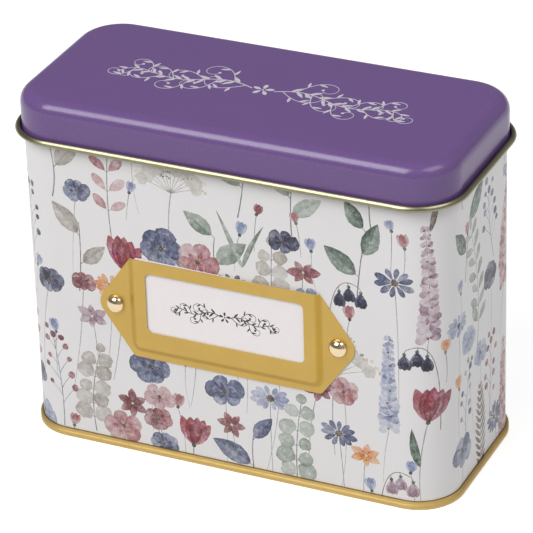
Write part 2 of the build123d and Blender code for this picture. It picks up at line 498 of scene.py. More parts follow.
def daisy(rng):
    """Many narrow petals round a seeded eye, seen a little from the side."""
    pigment = pick(rng, "slate", "powder", "rose", "apricot", "slate", "navy")
    size = rng.uniform(4.6, 6.2)
    count = rng.randint(10, 13)
    squash = rng.uniform(0.62, 0.95)
    start = rng.uniform(0, 360)
    shapes, _ = stem(rng, 0j, rng.uniform(22, 46))
    for i in range(count):
        seen = ring_way(rng, start + 360 * i / count, 5, squash)
        reach = size * abs(seen) * rng.uniform(0.88, 1.05)
        width = reach * 0.34 + 0.35
        strength = rng.uniform(0.55, 1.15)
        pool = rng.uniform(-0.5, 0.3)
        shapes.append(ring_petal(rng, seen, 0.9, reach, width, pigment, strength, 0.66, 0.6, pool))
    shapes += flower_eye(rng, 0j, size * 0.22, 7)
    return shapes, [(0j, size * 1.05)]


def star_flower(rng):
    """Six pointed petals with fine stamens."""
    pigment = pick(rng, "apricot", "rose", "plum", "apricot", "mauve")
    size = rng.uniform(4.4, 5.6)
    squash = rng.uniform(0.7, 1.0)
    start = rng.uniform(0, 60)
    shapes, _ = stem(rng, 0j, rng.uniform(18, 40))
    for i in range(6):
        seen = ring_way(rng, start + 60 * i, 6, squash)
        reach = size * abs(seen) * rng.uniform(0.9, 1.06)
        width = reach * 0.6
        strength = rng.uniform(0.6, 1.1)
        shapes.append(ring_petal(rng, seen, 0.3, reach, width, pigment, strength, 0.46, 0.85, -0.4))
    for i in range(5):
        tip = cmath.rect(size * 0.33, math.tau * i / 5 + start)
        shapes += stalk(0j, tip, 0.16, 0.12, PIGMENTS["umber"], 0.8)
        shapes.append(dot(rng, tip, 0.26, PIGMENTS["umber"], 1.0, 6))
    shapes.append(dot(rng, 0j, 0.5, PIGMENTS["cream"], 0.8, 7))
    return shapes, [(0j, size * 1.02)]


def bell_stalk(rng):
    """An arching stalk with nodding bells."""
    pigment = pick(rng, "slate", "powder", "mauve", "navy")
    side = rng.choice((-1, 1))
    rise = rng.uniform(20, 28)
    foot = complex(-side * 2, -rise - 8)
    arch = bezier(foot, complex(-side * 3, 6), complex(side * 8.5, -1.5), 16)
    shapes = stroke(arch[::-1], 0.24, 0.34, PIGMENTS["umber"], 0.8, 0.4)
    blocks = []
    for share in (16, 13, 10):
        hang = arch[share]
        drop = hang - 1.4j + side * 0.4
        bow = (hang + drop) / 2 + 0.1 * side
        shapes += stroke([hang, bow, drop], 0.22, 0.2, PIGMENTS["umber"], 0.8)
        reach = rng.uniform(5.0, 6.2) * (0.82 + share / 90)
        for angle, width, depth in ((-104, 2.5, 0.7), (-76, 2.5, 0.85), (-90, 2.9, 1.1)):
            way = unit(angle + rng.uniform(-4, 4))
            shapes.append(petal(rng, drop, way, reach, width, pigment, depth, 0.62, 0.7, 0.5))
        shapes.append(dot(rng, drop, 0.62, PIGMENTS["moss"], 1.0, 7))
        blocks.append((drop - 1j * reach / 2, reach * 0.55))
    return shapes, blocks


def tulip(rng):
    """A cup of overlapping petals with one long leaf."""
    pigment = pick(rng, "raspberry", "rose", "plum", "raspberry")
    lean = rng.uniform(-14, 14)
    reach = rng.uniform(9.5, 12.5)
    shapes, points = stem(rng, 0j, rng.uniform(26, 40), 0.15, 0.35, 0.42)
    for angle, share, depth, pool in (
        (118, 0.42, 0.75, 0.4),
        (62, 0.42, 0.85, 0.4),
        (102, 0.46, 1.0, 0.3),
        (78, 0.46, 0.8, 0.5),
        (90, 0.42, 1.15, -0.2),
    ):
        way = unit(angle + lean + rng.uniform(-3, 3))
        tall = reach * rng.uniform(0.9, 1.02)
        shapes.append(petal(rng, 0j, way, tall, reach * share, pigment, depth, 0.5, 0.75, pool))
    shapes.append(dot(rng, -0.2j, 0.8, PIGMENTS["moss"], 1.1, 8))
    foot = points[len(points) // 2]
    way = unit(90 + rng.choice((-1, 1)) * rng.uniform(18, 30))
    shapes += leaf(rng, foot, way, rng.uniform(11, 15), 2.9, PIGMENTS["moss"], 0.8, PIGMENTS["moss"])
    return shapes, [(unit(90 + lean) * reach * 0.55, reach * 0.62), (foot + way * 7, 3.2)]


def flower_spike(rng):
    """A tall spike of small petals in whorls, close at the top."""
    pigment = pick(rng, "mauve", "rose", "mauve", "powder")
    tall = rng.uniform(30, 42)
    top = complex(rng.uniform(-4, 4), tall)
    axis = bezier(0j, complex(-top.real, tall / 2), top, 14)
    shapes, _ = stem(rng, 0j, rng.uniform(12, 20))
    shapes += stroke(axis, 0.36, 0.2, PIGMENTS["twig"], 0.8)
    blocks = []
    for i, at in enumerate(axis):
        grow = 1 - 0.62 * i / 14
        for angle in (188, -8, 150, 30, 112, 70):
            way = unit(angle + rng.uniform(-14, 14))
            reach = 3.9 * grow * rng.uniform(0.8, 1.1)
            depth = rng.choice((0.35, 0.5, 0.7, 1.05))
            pool = rng.uniform(-0.5, 0.5)
            base = at + way * 0.2
            shapes.append(petal(rng, base, way, reach, reach * 0.7, pigment, depth, 0.62, 0.55, pool))
        if i % 2 == 0:
            shapes.append(dot(rng, at + rng.uniform(-0.8, 0.8), 0.42, PIGMENTS["plum"], 0.9, 7))
            blocks.append((at, 3.6 * grow + 0.6))
    return shapes, blocks


def leafy_sprig(rng):
    """A tall sprig with oval leaves in pairs."""
    pigment = pick(rng, "rose", "slate", "rose", "sage", "mauve")
    tall = rng.uniform(40, 56)
    top = complex(rng.uniform(-8, 8), tall)
    axis = bezier(0j, complex(-top.real * 0.6, tall / 2), top, 16)
    shapes = stroke(axis[::-1], 0.22, 0.34, PIGMENTS["twig"], 0.85)
    blocks = []
    for i in range(3, 17, 2):
        for side in (-1, 1):
            way = way_along(axis, i) * unit(side * rng.uniform(38, 58))
            reach = rng.uniform(5.6, 7.2) * (1.12 - i / 40)
            joint = axis[i] + way * 0.9
            shapes += stalk(axis[i], joint, 0.2, 0.16, PIGMENTS["twig"], 0.85)
            strength = rng.uniform(0.4, 1.1)
            pool = rng.uniform(-0.5, 0.4)
            bend = side * rng.uniform(-0.05, 0.12)
            leaflet = petal(rng, joint, way, reach, reach * 0.5, pigment, strength, 0.55, 0.6, pool, bend)
            shapes.append(leaflet)
            blocks.append((joint + way * reach / 2, reach * 0.42))
    shapes.append(petal(rng, top, unit(90), 5.2, 2.4, pigment, 0.8))
    return shapes, blocks


def round_leaf_sprig(rng):
    """A sprig with round leaves, thin and see-through like a wet wash."""
    pigment = pick(rng, "sage", "slate", "sage", "stone")
    tall = rng.uniform(28, 38)
    top = complex(rng.uniform(-7, 7), tall)
    axis = bezier(0j, complex(-top.real * 0.7, tall / 2), top, 12)
    shapes = stroke(axis[::-1], 0.24, 0.36, PIGMENTS["twig"], 0.9)
    blocks = []
    for i in range(2, 12, 2):
        for side in (-1, 1):
            radius = rng.uniform(2.3, 3.3) * (1.15 - i / 30)
            way = unit(90 - side * rng.uniform(52, 74))
            centre = axis[i] + way * (radius + 0.7)
            shapes += stalk(axis[i], centre, 0.2, 0.16, PIGMENTS["twig"], 0.8)
            shapes.append(dot(rng, centre, radius, pigment, rng.uniform(0.4, 0.9), 14))
            blocks.append((centre, radius))
    shapes.append(dot(rng, top + 1.2j, 1.7, pigment, 0.8, 10))
    return shapes, blocks


def fern(rng):
    """A fern frond of narrow leaflets."""
    pigment = pick(rng, "moss", "sage", "umber", "moss")
    tall = rng.uniform(26, 38)
    lean = rng.uniform(-10, 10)
    axis = bezier(0j, complex(-lean * 0.4, tall / 2), complex(lean, tall), 14)
    shapes = stroke(axis[::-1], 0.2, 0.32, pigment, 1.0)
    blocks = []
    for i in range(2, 14):
        reach = 5.6 * math.sin(math.pi * (0.16 + 0.8 * i / 14)) + 0.6
        for side in (-1, 1):
            way = way_along(axis, i) * unit(side * (56 - i))
            strength = rng.uniform(0.55, 1.0)
            bend = -side * 0.1
            leaflet = petal(rng, axis[i], way, reach, 1.35, pigment, strength, 0.42, 0.8, -0.2, bend)
            shapes.append(leaflet)
        if i % 2 == 0:
            blocks.append((axis[i], reach * 0.8))
    return shapes, blocks


def umbel(rng):
    """A wide head of tiny cream florets on fine rays."""
    wide = rng.uniform(0.85, 1.1)
    shapes, _ = stem(rng, 0j, rng.uniform(20, 30), 0.08, 0.4, 0.42)
    blocks = []
    rays = 11
    for i in range(rays):
        angle = 90 + (i - (rays - 1) / 2) * 13.5 + rng.uniform(-3, 3)
        reach = wide * (9.5 + 2.4 * math.cos(math.radians(angle - 90)) + rng.uniform(-1.2, 1.2))
        tip = unit(angle) * reach
        tip = complex(tip.real * 1.12, tip.imag * 0.92)
        shapes += stroke(bezier(0j, tip * 0.5 + 0.6j, tip, 5), 0.22, 0.14, PIGMENTS["stone"], 1.0)
        for _ in range(15):
            at = tip + complex(rng.gauss(0, 1.25), rng.gauss(0, 0.95))
            pigment = pick(rng, "cream", "cream", "stone", "white", "sage", "cream")
            shapes.append(dot(rng, at, rng.uniform(0.34, 0.8), pigment, rng.uniform(0.3, 0.95), 7))
        radius = rng.uniform(1.9, 2.6)
        strength = rng.uniform(0.25, 0.45)
        shapes.append(dot(rng, tip * 0.93, radius, PIGMENTS["stone"], strength, 12))
        blocks.append((tip, 2.6))
    for _ in range(16):
        at = complex(rng.gauss(0, 5.2), rng.uniform(5.5, 9.5)) * wide
        shapes.append(dot(rng, at, rng.uniform(0.2, 0.38), PIGMENTS["umber"], rng.uniform(0.5, 1.0), 6))
    blocks.append((4j, 4.0))
    return shapes, blocks


def berry_twig(rng):
    """A forked twig with small berries."""
    pigment = pick(rng, "slate", "navy", "plum", "slate")
    tall = rng.uniform(24, 34)
    axis = bezier(0j, complex(rng.uniform(-5, 5), tall / 2), complex(rng.uniform(-5, 5), tall), 12)
    shapes = stroke(axis[::-1], 0.22, 0.34, PIGMENTS["slate"], 0.7)
    blocks = []
    for i in range(3, 13):
        side = 1 if i % 2 else -1
        way = unit(90 - side * rng.uniform(26, 50))
        tip = axis[i] + way * rng.uniform(4.5, 7.5) * (1.2 - i / 24)
        shapes += stroke(bezier(axis[i], axis[i] + way * 2 + 1j, tip, 4), 0.2, 0.16, PIGMENTS["slate"], 0.7)
        shapes.append(dot(rng, tip, rng.uniform(0.85, 1.3), pigment, rng.uniform(0.45, 1.2), 10))
        blocks.append((tip, 1.7))
    shapes.append(dot(rng, axis[-1], 1.2, pigment, 1.1, 10))
    return shapes, blocks


def leaf_twig(rng):
    """A bare twig with two or three broad leaves."""
    pigment = pick(rng, "moss", "slate", "sage", "stone", "slate", "moss")
    tall = rng.uniform(18, 30)
    axis = bezier(0j, complex(rng.uniform(-5, 5), tall / 2), complex(rng.uniform(-3, 3), tall), 10)
    shapes = stroke(axis[::-1], 0.26, 0.4, PIGMENTS["twig"], 1.0)
    blocks = []
    side = rng.choice((-1, 1))
    for i in rng.choice(((10, 5), (10, 6, 3), (8, 4))):
        way = unit(90 - side * rng.uniform(28, 62))
        joint = axis[i] + way * 1.2
        reach = rng.uniform(10, 14.5)
        shapes += stalk(axis[i], joint, 0.26, 0.22, PIGMENTS["twig"], 1.0)
        shapes += leaf(rng, joint, way, reach, reach * 0.5, pigment, rng.uniform(0.6, 1.0), PIGMENTS["twig"])
        blocks.append((joint + way * reach * 0.45, reach * 0.38))
        blocks.append((joint + way * reach * 0.8, reach * 0.2))
        side = -side
    return shapes, blocks


def grass(rng):
    """A tuft of long narrow blades."""
    pigment = pick(rng, "moss", "sage", "umber")
    shapes, blocks = [], []
    for _ in range(rng.randint(2, 4)):
        way = unit(90 + rng.uniform(-24, 24))
        reach = rng.uniform(13, 22)
        strength = rng.uniform(0.6, 1.0)
        bend = rng.uniform(-0.15, 0.15)
        shapes.append(petal(rng, 0j, way, reach, 1.7, pigment, strength, 0.35, 0.8, 0.3, bend))
        blocks.append((way * reach * 0.6, 1.8))
    return shapes, blocks


def bud(rng):
    """A closed bud on a short stem."""
    pigment = pick(rng, "powder", "rose", "apricot", "plum", "powder")
    shapes, _ = stem(rng, 0j, rng.uniform(9, 20))
    way = unit(90 + rng.uniform(-25, 25))
    reach = rng.uniform(3.6, 5.0)
    for tilt, depth in ((16, 0.6), (-16, 0.75), (0, 1.05)):
        shapes.append(petal(rng, 0j, way * unit(tilt), reach, reach * 0.48, pigment, depth, 0.55, 0.65, 0.3))
    shapes.append(dot(rng, 0j, 0.6, PIGMENTS["moss"], 1.1, 7))
    return shapes, [(way * reach / 2, reach * 0.55)]


# How many of each to try, the widest first
SOWING = (
    (umbel, 8),
    (flower_spike, 8),
    (leafy_sprig, 4),
    (tulip, 7),
    (round_leaf_sprig, 6),
    (fern, 4),
    (bloom, 22),
    (leaf_twig, 20),
    (bell_stalk, 7),
    (berry_twig, 9),
    (bloom, 24),
    (daisy, 16),
    (star_flower, 20),
    (grass, 6),
    (bud, 50),
)


def sow(rng, wide, low, high):
    """Lays the plants over the sheet with no head on another, and gives their shapes."""
    taken = np.zeros((0, 3))
    plants = []
    for plant, count in SOWING:
        for _ in range(count):
            for _ in range(TRIES):
                shapes, blocks = plant(rng)
                at = complex(rng.uniform(-3, wide + 3), rng.uniform(low - 12, high))
                new = np.array([((c + at).real, (c + at).imag, r) for c, r in blocks])
                if new[:, 1].max() < low + 1 or new[:, 1].min() > high:
                    continue
                gap = np.hypot(
                    new[:, None, 0] - taken[None, :, 0], new[:, None, 1] - taken[None, :, 1]
                )
                if taken.size and (gap < 0.8 * (new[:, None, 2] + taken[None, :, 2])).any():
                    continue
                taken = np.vstack([taken, new])
                moved = [
                    s._replace(outline=[p + at for p in s.outline], middle=s.middle + at) for s in shapes
                ]
                plants.append(moved)
                break
    # Every plant's leading lines, its stem, go under all the heads
    stems, heads = [], []
    for plant in plants:
        first = next((i for i, s in enumerate(plant) if s.half_length != LINE), len(plant))
        stems += plant[:first]
        heads += plant[first:]
    return stems + heads


# The wall's printed sheet


def wall_runs(sizes):
    """Straight runs and corners of the wall's outline, from the side seam round to it again."""
    half_x = sizes.wall_width / 2 / MM
    half_y = sizes.wall_depth / 2 / MM
    radius = sizes.wall_corner / MM
    seam = sizes.seam_place / MM
    gap = sizes.seam_gap / MM / 2
    flat_x = half_x - radius
    flat_y = half_y - radius
    quarter = math.pi / 2 * radius
    return [
        ("run", complex(seam - gap, half_y), 180, flat_x + seam - gap),
        ("turn", complex(-flat_x, flat_y), 90, quarter),
        ("run", complex(-half_x, flat_y), 270, 2 * flat_y),
        ("turn", complex(-flat_x, -flat_y), 180, quarter),
        ("run", complex(-flat_x, -half_y), 0, 2 * flat_x),
        ("turn", complex(flat_x, -flat_y), 270, quarter),
        ("run", complex(half_x, -flat_y), 90, 2 * flat_y),
        ("turn", complex(flat_x, flat_y), 0, quarter),
        ("run", complex(flat_x, half_y), 180, flat_x - seam - gap),
    ]


def wall_place(runs, radius, along):
    """Point of the wall's outline and its outward direction, at a distance along the sheet."""
    for kind, start, angle, reach in runs:
        if along <= reach or (kind, start, angle, reach) == runs[-1]:
            if kind == "run":
                way = unit(angle)
                return start + way * along, way * -1j
            out = cmath.rect(1, math.radians(angle) + along / radius)
            return start + out * radius, out
        along -= reach


def crosses(shape, left, right):
    """Whether a shape reaches into a strip of the sheet."""
    places = [p.real for p in shape.outline]
    return min(places) < right and max(places) > left


def joined(points, triangles, sources):
    """The same triangles with points that meet at the strips' borders made one."""
    known, place = {}, []
    for p in points:
        place.append(known.setdefault((round(p.real, 3), round(p.imag, 3)), len(known)))
    moved = [tuple(place[v] for v in triangle) for triangle in triangles]
    whole = [i for i, triangle in enumerate(moved) if len(set(triangle)) == 3]
    return [complex(*key) for key in known], [moved[i] for i in whole], [sources[i] for i in whole]


def painted_sheet(shapes, corner_low, corner_high, levels, uprights):
    """Flat triangles of the whole sheet, cut strip by strip along every shape, level and upright."""
    wide, low, top = corner_high.real, corner_low.imag, corner_high.imag
    points, triangles, sources = [], [], []
    for i in range(STRIPS):
        left, right = wide * i / STRIPS, wide * (i + 1) / STRIPS
        near = [0] + [k + 1 for k, shape in enumerate(shapes) if crosses(shape, left, right)]
        sheet = [complex(left, low), complex(right, low), complex(right, top), complex(left, top)]
        lines = [[complex(left, level), complex(right, level)] for level in levels]
        lines += [[complex(x, low), complex(x, top)] for x in uprights if left < x < right]
        outlines = [sheet] + [shapes[k - 1].outline for k in near[1:]]
        some, faces, covers = flat_sheet(outlines, lines, lambda source: 0 in source)
        first = len(points)
        points += some
        triangles += [tuple(v + first for v in face) for face in faces]
        sources += [[near[k] for k in cover] for cover in covers]
    return joined(points, triangles, sources)


def rolled(sizes, runs, p):
    """Place and normal on the tin of a point of the flat sheet, up the wall and over the rim."""
    rim_level = sizes.rim_level / MM
    rim_radius = sizes.rim_radius / MM
    lift = sizes.print_lift / MM
    wide = sum(run[3] for run in runs)
    at, out = wall_place(runs, sizes.wall_corner / MM, min(max(p.real, 0), wide))
    stand, level, lean = lift, p.imag, 0.0
    if p.imag > rim_level:
        lean = (p.imag - rim_level) / rim_radius
        stand = (rim_radius + lift) * math.cos(lean) - rim_radius
        level = rim_level + (rim_radius + lift) * math.sin(lean)
    at += out * stand
    flat = out * math.cos(lean)
    return Vector((at.real, at.imag, level)) * MM, Vector((flat.real, flat.imag, math.sin(lean)))


def paint_over(over):
    """Colour and strength of the topmost of some shapes, tinged by the wash under it."""
    if not over:
        return (1.0, 1.0, 1.0), 0.0
    shape = over[-1]
    colour = shape.pigment
    if len(over) > 1 and LINE not in (shape.half_length, over[-2].half_length):
        share = 0.3 * over[-2].strength
        colour = tuple(c * b**share for c, b in zip(colour, over[-2].pigment))
    return colour, shape.strength


def print_mesh(sizes, seed):
    """The printed coat: one sheet round the wall and over the rim, cut along every painted shape."""
    runs = wall_runs(sizes)
    wide = sum(run[3] for run in runs)
    low = sizes.print_low / MM
    high = sizes.print_high / MM
    rim_level = sizes.rim_level / MM
    top = rim_level + sizes.rim_radius / MM * math.radians(RIM_TURN)
    shapes = sow(random.Random(seed), wide, low, high)
    levels = [high] + [rim_level + (top - rim_level) * i / RIM_STEPS for i in range(RIM_STEPS)]
    uprights, passed = [], 0
    for kind, _, _, reach in runs:
        if kind == "turn":
            uprights += [passed + reach * i / WALL_STEPS for i in range(WALL_STEPS + 1)]
        passed += reach
    corners = complex(0, low), complex(wide, top)
    points, triangles, sources = painted_sheet(shapes, *corners, levels, uprights)
    vertices, normals = zip(*(rolled(sizes, runs, p) for p in points))
    pigments, washes, places = [], [], []
    for triangle, source in zip(triangles, sources):
        centre = sum(points[v] for v in triangle) / 3
        over = [shapes[i - 1] for i in source if i > 0] if centre.imag < high else []
        colour, strength = paint_over(over)
        for v in triangle:
            wash = (0.0, 0.0, 0.0)
            if over:
                local = (points[v] - over[-1].middle) / over[-1].turn
                wash = (local.real / over[-1].half_length, local.imag / over[-1].half_width, over[-1].pool)
            pigments += (*colour, strength)
            washes += wash
            places += (points[v].real / wide, (points[v].imag - low) / (top - low))
    mesh = bpy.data.meshes.new("wall_print")
    mesh.from_pydata(vertices, [], triangles)
    mesh.attributes.new("pigment", "FLOAT_COLOR", "CORNER")
    mesh.attributes.new("wash", "FLOAT_VECTOR", "CORNER")
    mesh.uv_layers.new(name="OFBake")
    mesh.attributes["pigment"].data.foreach_set("color", pigments)
    mesh.attributes["wash"].data.foreach_set("vector", washes)
    mesh.uv_layers["OFBake"].uv.foreach_set("vector", places)
    mesh.shade_smooth()
    mesh.normals_split_custom_set_from_vertices(normals)
    return mesh


# Shader making


def new_material(name):
    """A material with its node tree and its main shader."""
    material = bpy.data.materials.new(name)
    material.use_nodes = True
    tree = material.node_tree
    return material, tree, tree.nodes["Principled BSDF"]


def add_node(tree, kind, inputs=None, **settings):
    """A shader node with its settings and inputs, which are values or other nodes' outputs."""
    made = tree.nodes.new(kind)
    for key, value in settings.items():
        setattr(made, key, value)
    for key, value in (inputs or {}).items():
        if isinstance(value, bpy.types.NodeSocket):
            tree.links.new(value, made.inputs[key])
        else:
            made.inputs[key].default_value = value
    return made


def calc(tree, operation, *values):
    """One sum on numbers."""
    made = add_node(tree, "ShaderNodeMath", dict(enumerate(values)), operation=operation)
    return made.outputs[0]


def vector_calc(tree, operation, *values, **named):
    """One sum on directions."""
    inputs = {**dict(enumerate(values)), **named}
    return add_node(tree, "ShaderNodeVectorMath", inputs, operation=operation).outputs


def place_of(tree, stretch=(1.0, 1.0, 1.0)):
    """Where a point lies on its piece, stretched to draw a grain out."""
    at = add_node(tree, "ShaderNodeTexCoord").outputs["Object"]
    if stretch == (1.0, 1.0, 1.0):
        return at
    return add_node(tree, "ShaderNodeMapping", {"Vector": at, "Scale": stretch}).outputs[0]


def noise(tree, at, scale, detail=3.0, rough=0.5):
    """Clouds of no set place, around a half."""
    inputs = {"Vector": at, "Scale": scale, "Detail": detail, "Roughness": rough}
    return add_node(tree, "ShaderNodeTexNoise", inputs).outputs["Fac"]


def mottle(tree, at, scale, detail=3.0, low=0.0, high=1.0, rough=0.5):
    """Clouds that run from one value to another."""
    return spread(tree, noise(tree, at, scale, detail, rough), 0.3, 0.7, low, high)


def spread(tree, value, low, high, to_low, to_high):
    """Maps a number from one range to another, held at its ends."""
    inputs = {"Value": value, "From Min": low, "From Max": high, "To Min": to_low, "To Max": to_high}
    return add_node(tree, "ShaderNodeMapRange", inputs).outputs[0]


def mix_colour(tree, share, first, second, blend="MIX"):
    """Two colours laid together, each a value or another node's output."""
    made = add_node(tree, "ShaderNodeMix", data_type="RGBA", blend_type=blend)
    for socket, value in zip((made.inputs[0], made.inputs[6], made.inputs[7]), (share, first, second)):
        if isinstance(value, bpy.types.NodeSocket):
            tree.links.new(value, socket)
        elif isinstance(value, (int, float)):
            socket.default_value = value
        else:
            socket.default_value = (*value[:3], 1.0)
    return made.outputs[2]


def bump(tree, height, distance, strength=1.0):
    """A shading normal from a height."""
    inputs = {"Height": height, "Distance": distance, "Strength": strength}
    return add_node(tree, "ShaderNodeBump", inputs).outputs[0]


def shade(colour, factor):
    """The same colour, darker or lighter."""
    return tuple(min(1.0, c * factor) for c in colour[:3])


def seen_ray(tree):
    """1 for what the camera sees straight, in a gloss or through glass, and 0 for light on the tin."""
    rays = add_node(tree, "ShaderNodeLightPath").outputs
    seen = calc(tree, "MAXIMUM", rays["Is Camera Ray"], rays["Is Glossy Ray"])
    return calc(tree, "MAXIMUM", seen, rays["Is Transmission Ray"])


def printed_wall(colours):
    """Watercolour washes on a pale ground, under a satin varnish."""
    material, tree, shader = new_material("printed_wall")
    at = place_of(tree)
    pigment = add_node(tree, "ShaderNodeAttribute", attribute_name="pigment")
    wash = add_node(tree, "ShaderNodeAttribute", attribute_name="wash")
    axes = add_node(tree, "ShaderNodeSeparateXYZ", {0: wash.outputs["Vector"]}).outputs
    flat = add_node(tree, "ShaderNodeCombineXYZ", {0: axes[0], 1: axes[1]}).outputs[0]
    out = vector_calc(tree, "LENGTH", flat)["Value"]
    # Pigment gathers at the edge of a wash, and drifts to one end of it
    rim = calc(tree, "POWER", spread(tree, out, 0.55, 1.0, 0.0, 1.0), 2.0)
    drift = calc(tree, "MULTIPLY", axes[0], axes[2])
    cloud = mottle(tree, at, 480.0, 4.0, -0.46, 0.46, 0.65)
    grain = spread(tree, noise(tree, at, 1900.0, 3.0), 0.25, 0.75, -0.24, 0.24)
    depth = calc(tree, "ADD", calc(tree, "MULTIPLY", rim, 0.34), calc(tree, "MULTIPLY", drift, 0.8))
    depth = calc(tree, "ADD", depth, calc(tree, "ADD", cloud, grain))
    depth = calc(tree, "MAXIMUM", calc(tree, "ADD", depth, 0.82), 0.12)
    depth = calc(tree, "MULTIPLY", depth, pigment.outputs["Alpha"])
    shift = mottle(tree, at, 260.0, 2.0, 0.482, 0.518)
    rich = mottle(tree, at, 170.0, 2.0, 0.8, 1.12)
    colour = {"Hue": shift, "Saturation": rich, "Color": pigment.outputs["Color"]}
    tinted = add_node(tree, "ShaderNodeHueSaturation", colour).outputs[0]
    laid = add_node(tree, "ShaderNodeGamma", {"Color": tinted, "Gamma": depth}).outputs[0]
    ground = mix_colour(tree, mottle(tree, at, 60.0), shade(colours.ground, 0.985), colours.ground)
    tree.links.new(mix_colour(tree, 1.0, ground, laid, "MULTIPLY"), shader.inputs["Base Color"])
    tree.links.new(mottle(tree, at, 900.0, 2.0, 0.36, 0.44), shader.inputs["Roughness"])
    tree.links.new(bump(tree, noise(tree, at, 1400.0, 2.0), 0.00001, 0.5), shader.inputs["Normal"])
    shader.inputs["Coat Weight"].default_value = 0.12
    shader.inputs["Coat Roughness"].default_value = 0.25
    return material


def metal_finish(tree, shader, colour, gloss, brushed=0.000004):
    """Rolled metal: a fine grain, a little cloudiness and a soft uneven gloss."""
    cloud = mottle(tree, place_of(tree), 90.0, 4.0, rough=0.6)
    tone = mix_colour(tree, cloud, shade(colour, 0.93), colour)
    fine = noise(tree, place_of(tree, (1.0, 1.0, 9.0)), 700.0)
    tree.links.new(tone, shader.inputs["Base Color"])
    tree.links.new(spread(tree, fine, 0.3, 0.7, gloss * 0.88, gloss * 1.15), shader.inputs["Roughness"])
    tree.links.new(bump(tree, fine, brushed, 1.0), shader.inputs["Normal"])
    shader.inputs["Metallic"].default_value = 1.0
    return tone


def gold_lacquer(name, colour, metallic, gloss, pressed=0.0):
    """Gold lacquer on rolled tinplate, satin rather than bright, with painted shade that darkens it on the
    holder's pressed step.
    """
    material, tree, shader = new_material(name)
    tone = metal_finish(tree, shader, colour, gloss)
    if pressed:
        # Painted shade: the attribute read here darkens the lacquer towards brown where the holder's step
        # slopes
        step_shade = add_node(tree, "ShaderNodeAttribute", attribute_name="step_shade").outputs["Fac"]
        deep = tuple(c * share for c, share in zip(colour, (0.73, 0.63, 0.03)))
        tone = mix_colour(tree, calc(tree, "MULTIPLY", step_shade, pressed), tone, deep)
        tree.links.new(tone, shader.inputs["Base Color"])
    shader.inputs["Metallic"].default_value = metallic
    shader.inputs["Coat Weight"].default_value = 0.25
    shader.inputs["Coat Roughness"].default_value = 0.3
    return material


def bare_metal(name, colour, gloss, brushed=0.000004):
    """Clear-lacquered tinplate, or polished brass."""
    material, tree, shader = new_material(name)
    metal_finish(tree, shader, colour, gloss, brushed)
    return material


def outline_distance(tree, at, half_x, half_y, radius):
    """How far a point lies outside a rounded rectangle, seen from above, and its height."""
    axes = add_node(tree, "ShaderNodeSeparateXYZ", {0: at}).outputs
    beyond = [
        calc(tree, "SUBTRACT", calc(tree, "ABSOLUTE", axis), half - radius)
        for axis, half in ((axes[0], half_x), (axes[1], half_y))
    ]
    reach = [calc(tree, "POWER", calc(tree, "MAXIMUM", value, 0.0), 2.0) for value in beyond]
    away = calc(tree, "SQRT", calc(tree, "ADD", *reach))
    inside = calc(tree, "MINIMUM", calc(tree, "MAXIMUM", *beyond), 0.0)
    return calc(tree, "SUBTRACT", calc(tree, "ADD", away, inside), radius), axes[2]


def leaned(tree, lean):
    """Shading normal of an upright face, tipped up by an angle."""
    normal = add_node(tree, "ShaderNodeNewGeometry").outputs["Normal"]
    flat = vector_calc(tree, "MULTIPLY", normal, (1.0, 1.0, 0.0))[0]
    flat = vector_calc(tree, "NORMALIZE", flat)[0]
    out = vector_calc(tree, "SCALE", flat, Scale=calc(tree, "COSINE", lean))[0]
    up = add_node(tree, "ShaderNodeCombineXYZ", {2: calc(tree, "SINE", lean)}).outputs[0]
    return vector_calc(tree, "ADD", out, up)[0]


def rounded_seam(sizes, colours):
    """The base plate's lacquer, with the seam's outer face shaded as a round bead."""
    material = gold_lacquer("seam_lacquer", colours.seam_gold, 0.8, 0.6)
    tree = material.node_tree
    shader = tree.nodes["Principled BSDF"]
    grain = shader.inputs["Normal"].links[0].from_socket
    away, level = outline_distance(
        tree, place_of(tree), sizes.wall_width / 2, sizes.wall_depth / 2, sizes.wall_corner
    )
    lean = spread(tree, level, sizes.seam_height * 0.2, sizes.seam_height, 0.0, math.radians(75))
    outer = calc(tree, "GREATER_THAN", away, sizes.sheet * 3)
    normal = add_node(
        tree, "ShaderNodeMix", {0: outer, 4: grain, 5: leaned(tree, lean)}, data_type="VECTOR"
    )
    tree.links.new(normal.outputs[1], shader.inputs["Normal"])
    return material


def painted_lid(colours):
    """Satin purple paint with a faint speckle and orange peel."""
    material, tree, shader = new_material("painted_lid")
    at = place_of(tree)
    speck = mottle(tree, at, 2600.0, 2.0)
    cloud = mottle(tree, at, 45.0)
    paint = mix_colour(tree, speck, shade(colours.purple, 0.86), shade(colours.purple, 1.1))
    paint = mix_colour(tree, calc(tree, "MULTIPLY", cloud, 0.4), paint, shade(colours.purple, 1.05))
    tree.links.new(paint, shader.inputs["Base Color"])
    tree.links.new(spread(tree, speck, 0.0, 1.0, 0.2, 0.25), shader.inputs["Roughness"])
    orange_peel = bump(tree, noise(tree, at, 1800.0, 2.0), 0.000012, 0.6)
    tree.links.new(orange_peel, shader.inputs["Normal"])
    return material


def paper(name, colour, fibre=0.05):
    """Smooth card with a faint fibre."""
    material, tree, shader = new_material(name)
    fibres = noise(tree, place_of(tree, (1.0, 1.0, 3.0)), 900.0, 4.0, 0.65)
    share = spread(tree, fibres, 0.3, 0.7, 0.0, 1.0)
    cloud = mottle(tree, place_of(tree), 120.0)
    tone = mix_colour(tree, share, shade(colour, 1 - fibre), colour)
    tone = mix_colour(tree, calc(tree, "MULTIPLY", cloud, 0.5), tone, shade(colour, 1 - fibre * 0.6))
    tree.links.new(tone, shader.inputs["Base Color"])
    tree.links.new(spread(tree, share, 0.0, 1.0, 0.7, 0.85), shader.inputs["Roughness"])
    tree.links.new(bump(tree, fibres, 0.00002, 0.5), shader.inputs["Normal"])
    return material


